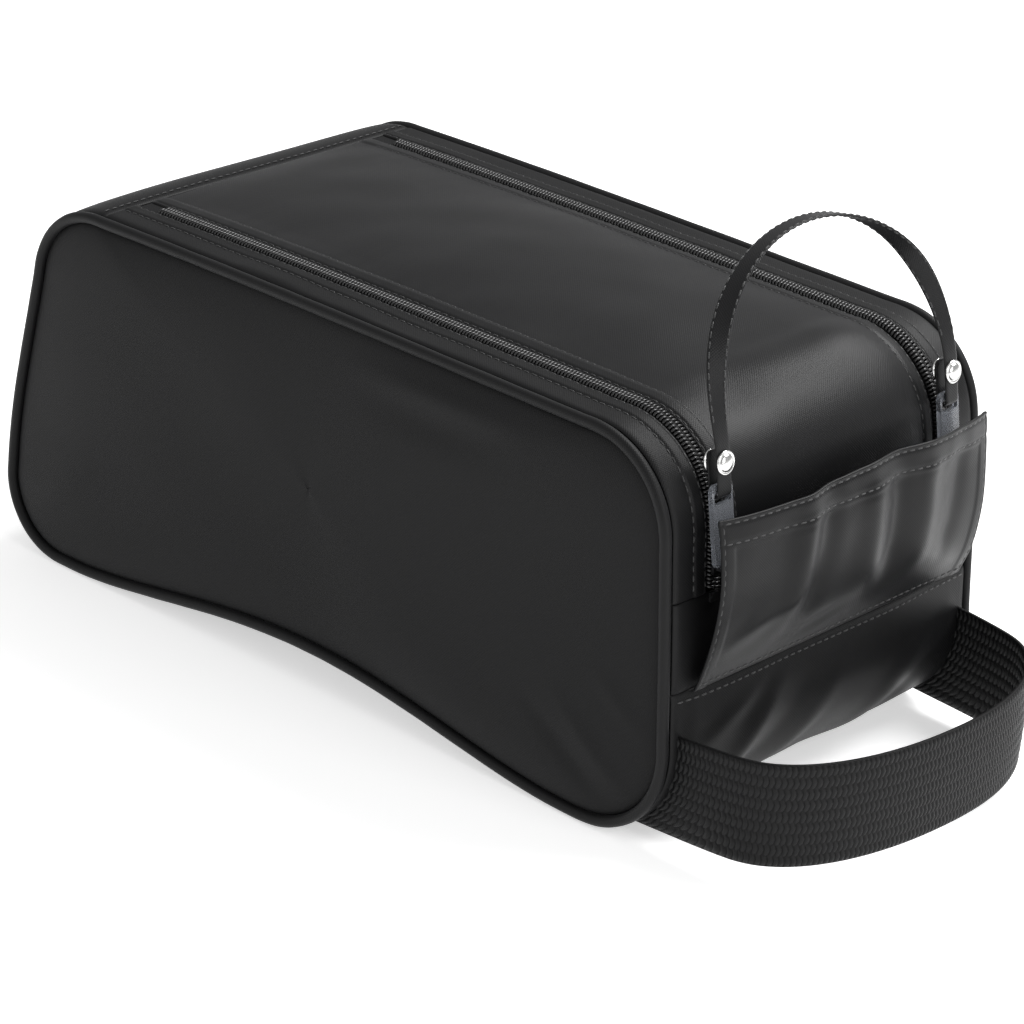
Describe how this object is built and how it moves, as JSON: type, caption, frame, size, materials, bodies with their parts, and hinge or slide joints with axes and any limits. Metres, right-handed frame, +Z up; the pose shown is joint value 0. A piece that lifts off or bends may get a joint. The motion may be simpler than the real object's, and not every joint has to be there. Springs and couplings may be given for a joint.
{
  "type": "shoe bag",
  "caption": "Zipped travel shoe bag with kidney-shaped sides, a hinged lid, a pull strap across both zips, an open-sided front cover and a webbing grab handle.",
  "frame": {"origin": "middle of the overall box, on the surface the bag stands on", "axes": "+X runs along the length to the front end with the grab handle, +Y across the width to the far side panel, +Z up"},
  "size_m": [0.4119, 0.175, 0.2123],
  "materials": {
    "bag_fabric": "black coated polyester, satin",
    "tape": "matt woven tape",
    "webbing": "ribbed woven webbing",
    "nylon_coil": "black nylon coil",
    "black_metal": "black painted zinc",
    "bright_metal": "bright nickel plate",
    "clear_plastic": "smoky translucent moulding"
  },
  "bodies": {
    "bag_body": {"side_panel_near": "bag_fabric", "side_panel_far": "bag_fabric", "piping_near": "bag_fabric", "piping_far": "bag_fabric", "bottom_panel": "bag_fabric", "rear_end_panel": "bag_fabric", "front_end_lower_panel": "bag_fabric", "front_end_upper_panel": "bag_fabric", "gusset_strip_near": "bag_fabric", "gusset_strip_far": "bag_fabric", "zip_tape_near_outer": "tape", "zip_tape_far_outer": "tape", "seam_binding_near": "tape", "seam_binding_far": "tape", "inside_label": "tape", "handle_root_near": "webbing", "handle_root_far": "webbing", "zip_coil_near_outer": "nylon_coil", "zip_coil_far_outer": "nylon_coil", "zip_stop_near": "black_metal", "zip_stop_far": "black_metal"},
    "lid": {"lid_panel": "bag_fabric", "zip_tape_near_lid": "tape", "zip_tape_far_lid": "tape", "zip_coil_near_lid": "nylon_coil", "zip_coil_far_lid": "nylon_coil"},
    "zip_sliders": {"zip_slider_near": "black_metal", "zip_slider_far": "black_metal"},
    "pull_strap_set": {"pull_strap": "bag_fabric", "pull_tab_near": "clear_plastic", "pull_tab_far": "clear_plastic", "rivet_cap_near": "bright_metal", "rivet_cap_far": "bright_metal", "rivet_back_near": "bright_metal", "rivet_back_far": "bright_metal"},
    "front_cover": {"front_cover_panel": "bag_fabric"},
    "handle": {"grab_handle": "webbing"}
  },
  "joints": [
    {"name": "lid_hinge", "type": "hinge", "parent": "bag_body", "child": "lid", "pos_m": [-0.15203, 0, 0.1533], "axis": [0, -1, 0], "range_deg": [0, 100]},
    {"name": "slider_corner", "type": "hinge", "parent": "lid", "child": "zip_sliders", "pos_m": [0.1039, 0, 0.117], "axis": [0, -1, 0], "range_deg": [0, 50]},
    {"name": "strap_swing", "type": "hinge", "parent": "zip_sliders", "child": "pull_strap_set", "pos_m": [0.1467, 0, 0.108], "axis": [0, 1, 0], "range_deg": [-4, 20]},
    {"name": "cover_hinge", "type": "hinge", "parent": "bag_body", "child": "front_cover", "pos_m": [0.14644, 0, 0.06212], "axis": [0, 1, 0], "range_deg": [0, 35]},
    {"name": "handle_hinge", "type": "hinge", "parent": "bag_body", "child": "handle", "pos_m": [0.16503, 0, 0.026], "axis": [0, -1, 0], "range_deg": [0, 50]}
  ]
}
